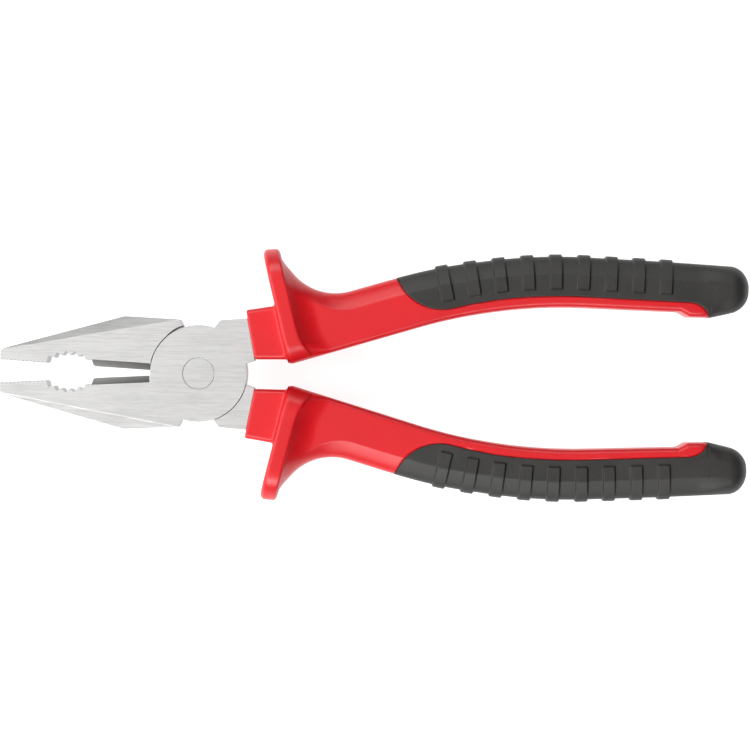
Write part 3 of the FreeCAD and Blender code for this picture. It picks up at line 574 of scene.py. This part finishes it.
class Shader:
    """A material's node tree, with short calls for the nodes used here."""

    def __init__(self, name):
        self.material = bpy.data.materials.new(name)
        self.material.use_nodes = True
        self.tree = self.material.node_tree
        self.tree.nodes.clear()
        self.output = self.tree.nodes.new("ShaderNodeOutputMaterial")
        self.surface = self.tree.nodes.new("ShaderNodeBsdfPrincipled")
        self.link(self.surface.outputs["BSDF"], self.output.inputs["Surface"])
        where = self.tree.nodes.new("ShaderNodeTexCoord")
        self.place, self.facing = where.outputs["Object"], where.outputs["Normal"]

    def link(self, source, target):
        self.tree.links.new(source, target)

    def node(self, kind, **inputs):
        made = self.tree.nodes.new("ShaderNode" + kind)
        for key, value in inputs.items():
            self.feed(made.inputs[key.replace("_", " ")], value)
        return made

    def feed(self, socket, value):
        if isinstance(value, bpy.types.NodeSocket):
            self.link(value, socket)
        else:
            socket.default_value = value

    def stretched(self, scale):
        """Object coordinates, scaled differently along each axis."""
        return self.node("Mapping", Vector=self.place, Scale=scale).outputs["Vector"]

    def noise(self, scale, detail=3.0, roughness=0.5, place=None):
        made = self.node(
            "TexNoise", Vector=place or self.place, Scale=scale, Detail=detail, Roughness=roughness
        )
        return made.outputs["Fac"]

    def between(self, value, low, high, to_low=0.0, to_high=1.0):
        """Maps value from low..high to to_low..to_high, clamped."""
        made = self.node("MapRange", Value=value)
        for socket, number in zip(made.inputs[1:5], (low, high, to_low, to_high)):
            socket.default_value = number
        return made.outputs["Result"]

    def reach(self):
        """Distance from the rivet's axis."""
        flat = self.node(
            "Mapping", Vector=self.place, Location=(-PIVOT.x, -PIVOT.y, 0), Scale=(1, 1, 0)
        )
        made = self.node("VectorMath", Vector=flat.outputs["Vector"])
        made.operation = "LENGTH"
        return made.outputs["Value"]

    def steepness(self):
        """0 on faces that lie flat, 1 on upright ones."""
        apart = self.node("SeparateXYZ", Vector=self.facing)
        level = self.math("ABSOLUTE", apart.outputs["Z"], 0.0)
        return self.math("SUBTRACT", 1.0, level)

    def math(self, operation, a, b):
        made = self.tree.nodes.new("ShaderNodeMath")
        made.operation = operation
        self.feed(made.inputs[0], a)
        self.feed(made.inputs[1], b)
        return made.outputs["Value"]

    def mix(self, factor, a, b):
        made = self.tree.nodes.new("ShaderNodeMix")
        made.data_type = "RGBA"
        self.feed(made.inputs["Factor"], factor)
        self.feed(made.inputs["A"], a)
        self.feed(made.inputs["B"], b)
        return made.outputs["Result"]

    def bump(self, height, distance, strength=1.0, normal=None):
        made = self.node("Bump", Height=height, Distance=distance, Strength=strength)
        if normal:
            self.link(normal, made.inputs["Normal"])
        return made.outputs["Normal"]

    def set(self, **inputs):
        for key, value in inputs.items():
            self.feed(self.surface.inputs[key.replace("_", " ")], value)
        return self


UPRIGHT_PAINTED_SHADE, RIVET_GAP_PAINTED_SHADE = 0.42, 0.3  # painted shade: darkens steel's upright faces, and a thin ring at the rivet head's edge
RIVET_RIM = 0.0041  # where the painted shade of the gap round the rivet head starts, from its axis


def steel_material(name, tone, rough, rim=None):
    """Ground steel: fine lengthwise grain, broader clouding, and painted shade darkening the
    upright faces.

    rim: the distance from the rivet's axis past which the face is painted dark, as painted shade
    in the gap round the rivet head.
    """
    shader = Shader(name)
    grain = shader.noise(1.0, 4.0, 0.6, shader.stretched((260, 5200, 900)))
    scratches = shader.noise(1.0, 2.0, 0.5, shader.stretched((90, 2300, 400)))
    clouds = shader.noise(70.0, 3.0, 0.55)
    # brightness factor: grain, scratches and clouds are the steel's own tone; the factors for
    # upright faces and the rivet's edge are painted shade
    light = shader.between(grain, 0.3, 0.7, 0.87, 1.06)
    marks_and_painted_shade = [
        shader.between(scratches, 0.35, 0.65, 0.93, 1.04),
        shader.between(clouds, 0.3, 0.7, 0.965, 1.02),
        # painted shade: upright faces darker
        shader.between(shader.steepness(), 0.14, 0.75, 1.0, UPRIGHT_PAINTED_SHADE),
    ]
    if rim:
        # painted shade: a dark ring where the rivet head meets the lever
        marks_and_painted_shade.append(shader.between(shader.reach(), rim, rim + 5e-5, 1.0, RIVET_GAP_PAINTED_SHADE))
    for shade in marks_and_painted_shade:
        light = shader.math("MULTIPLY", light, shade)
    colour = shader.mix(light, (0, 0, 0, 1), (*tone, 1))
    roughness = shader.between(scratches, 0.3, 0.7, rough - 0.015, rough + 0.02)
    rounded = shader.node("Bevel", Radius=0.0001).outputs["Normal"]
    height = shader.math("ADD", grain, shader.math("MULTIPLY", scratches, 0.6))
    shader.set(
        Base_Color=colour, Metallic=1.0, Roughness=roughness,
        Normal=shader.bump(height, 0.0000015, 0.5, rounded),
    )
    return shader.material


def plastic_material(name, tone, rough, grain_depth):
    """Moulded plastic: slight colour variation, flow marks and a fine eroded texture."""
    shader = Shader(name)
    mottle = shader.noise(55.0, 3.0, 0.5)
    fine = shader.noise(5200.0, 2.0, 0.5)
    waves = shader.noise(240.0, 2.0, 0.45)
    dark = tuple(c * 0.93 for c in tone)
    colour = shader.mix(shader.between(mottle, 0.35, 0.65), (*dark, 1), (*tone, 1))
    height = shader.math("ADD", fine, shader.math("MULTIPLY", waves, 0.8))
    shader.set(
        Base_Color=colour,
        Roughness=shader.between(waves, 0.3, 0.7, rough - 0.04, rough + 0.05),
        Normal=shader.bump(height, grain_depth),
    )
    return shader


def rubber_material(name, tone, rough):
    """Soft grip: matt, finely pebbled, a little dusty where it is rubbed."""
    shader = Shader(name)
    pebble = shader.node("TexVoronoi", Vector=shader.place, Scale=2600.0).outputs["Distance"]
    dust = shader.noise(90.0, 4.0, 0.6)
    fine = shader.noise(4200.0, 2.0, 0.5)
    light = tuple(c * 1.35 + 0.004 for c in tone)
    colour = shader.mix(shader.between(dust, 0.35, 0.75), (*tone, 1), (*light, 1))
    height = shader.math("ADD", pebble, shader.math("MULTIPLY", fine, 0.6))
    shader.set(
        Base_Color=colour,
        Roughness=shader.between(dust, 0.3, 0.7, rough - 0.03, rough + 0.06),
        Normal=shader.bump(height, 0.00003, 0.7),
    )
    return shader.material


def floor_material():
    shader = Shader("studio_floor")
    cloud = shader.noise(2.0, 2.0, 0.5)
    tone = shader.mix(cloud, (0.37, 0.37, 0.37, 1), (0.39, 0.39, 0.39, 1))
    shader.set(Base_Color=tone, Roughness=0.9, Emission_Color=(1, 1, 1, 1), Emission_Strength=0.9)
    return shader.material


# ---------------------------------------------------------------- pieces


def lever_matrix(turned_over):
    """Takes the lever frame, in millimetres, to the row frame, in metres."""
    if turned_over:
        turn = Matrix.Rotation(-HALF_OPENING, 4, "Z") @ Matrix.Rotation(math.pi, 4, "X")
    else:
        turn = Matrix.Rotation(HALF_OPENING, 4, "Z")
    return Matrix.Translation(PIVOT) @ turn @ Matrix.Scale(MM, 4)


def dress_node(node, material):
    mesh = frame["nodes"][node].data
    mesh.materials.clear()
    mesh.materials.append(material)


def make_pliers():
    steel = steel_material("ground_steel", (0.76, 0.755, 0.745), 0.34)
    rivet = steel_material("rivet_steel", (0.755, 0.75, 0.74), 0.33, RIVET_RIM)
    red = plastic_material("red_plastic", (0.58, 0.007, 0.012), 0.36, 0.000012)
    red.set(Specular_IOR_Level=0.45)
    black = rubber_material("black_grip", (0.015, 0.0143, 0.013), 0.54)
    for side, turned_over in (("front", False), ("rear", True)):
        body = f"{side}_half"
        matrix = lever_matrix(turned_over)
        sleeve = make_sleeve(f"{side}_handle_sleeve", matrix, red.material)
        grip = make_grip(f"{side}_handle_grip", matrix, black)
        for piece, node, slot in ((sleeve, "sleeve", "sleeve"), (grip, "grip", "grip")):
            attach(piece, body)
            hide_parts(f"{side}_{node}")
        dress_node(f"{side}_lever", steel)
    dress_node("pivot_rivet", rivet)


# ---------------------------------------------------------------- studio


def make_floor():
    mesh = bpy.data.meshes.new("floor")
    half = 3.0
    corners = [(-half, -half, 0), (half, -half, 0), (half, half, 0), (-half, half, 0)]
    mesh.from_pydata(corners, [], [(0, 1, 2, 3)])
    floor = bpy.data.objects.new("floor", mesh)
    bpy.context.collection.objects.link(floor)
    mesh.materials.append(floor_material())


def area_light(name, place, size, power):
    light = bpy.data.lights.new(name, "AREA")
    light.shape = "RECTANGLE"
    light.size, light.size_y = size
    light.energy = power
    lamp = bpy.data.objects.new(name, light)
    bpy.context.collection.objects.link(lamp)
    lamp.location = place
    aim = Vector((0, 0, 0.01)) - Vector(place)
    lamp.rotation_euler = aim.to_track_quat("-Z", "Y").to_euler()


def make_studio():
    make_floor()
    area_light("overhead", (-0.4, 0, 1.45), (1.4, 1.2), 5.2)
    area_light("near_side", (-0.35, -0.88, 0.86), (1.4, 0.44), 18.0)
    area_light("far_side", (-0.35, 0.88, 0.86), (1.4, 0.44), 11.0)
    area_light("jaw_side", (-1.05, 0, 0.6), (0.4, 1.0), 8.0)
    make_world()
    bpy.context.scene.view_settings.view_transform = "Standard"


def make_world():
    """White surroundings, brighter low down than overhead."""
    world = bpy.data.worlds.new("studio")
    world.use_nodes = True
    tree = world.node_tree
    place = tree.nodes.new("ShaderNodeTexCoord").outputs["Generated"]
    apart = tree.nodes.new("ShaderNodeSeparateXYZ")
    tree.links.new(place, apart.inputs[0])
    fade = tree.nodes.new("ShaderNodeMapRange")
    for socket, number in zip(fade.inputs[1:5], (0.25, 0.6, 0.75, 0.15)):
        socket.default_value = number
    tree.links.new(apart.outputs["Z"], fade.inputs["Value"])
    tree.links.new(fade.outputs["Result"], tree.nodes["Background"].inputs["Strength"])
    bpy.context.scene.world = world


CAMERA_HEIGHT, CAMERA_LENS = 0.88, 157.7  # above the rivet's middle; focal length
PICTURE_TURN = math.radians(0.75)


def make_camera():
    """Straight above the tool, which lies a little turned in the picture."""
    data = bpy.data.cameras.new("camera")
    data.lens = CAMERA_LENS
    camera = bpy.data.objects.new("camera", data)
    bpy.context.collection.objects.link(camera)
    camera.location = (0.0001, 0.0002, PIVOT.z + CAMERA_HEIGHT)
    camera.rotation_euler = (0, 0, PICTURE_TURN)
    bpy.context.scene.camera = camera


make_pliers()
make_studio()
make_camera()
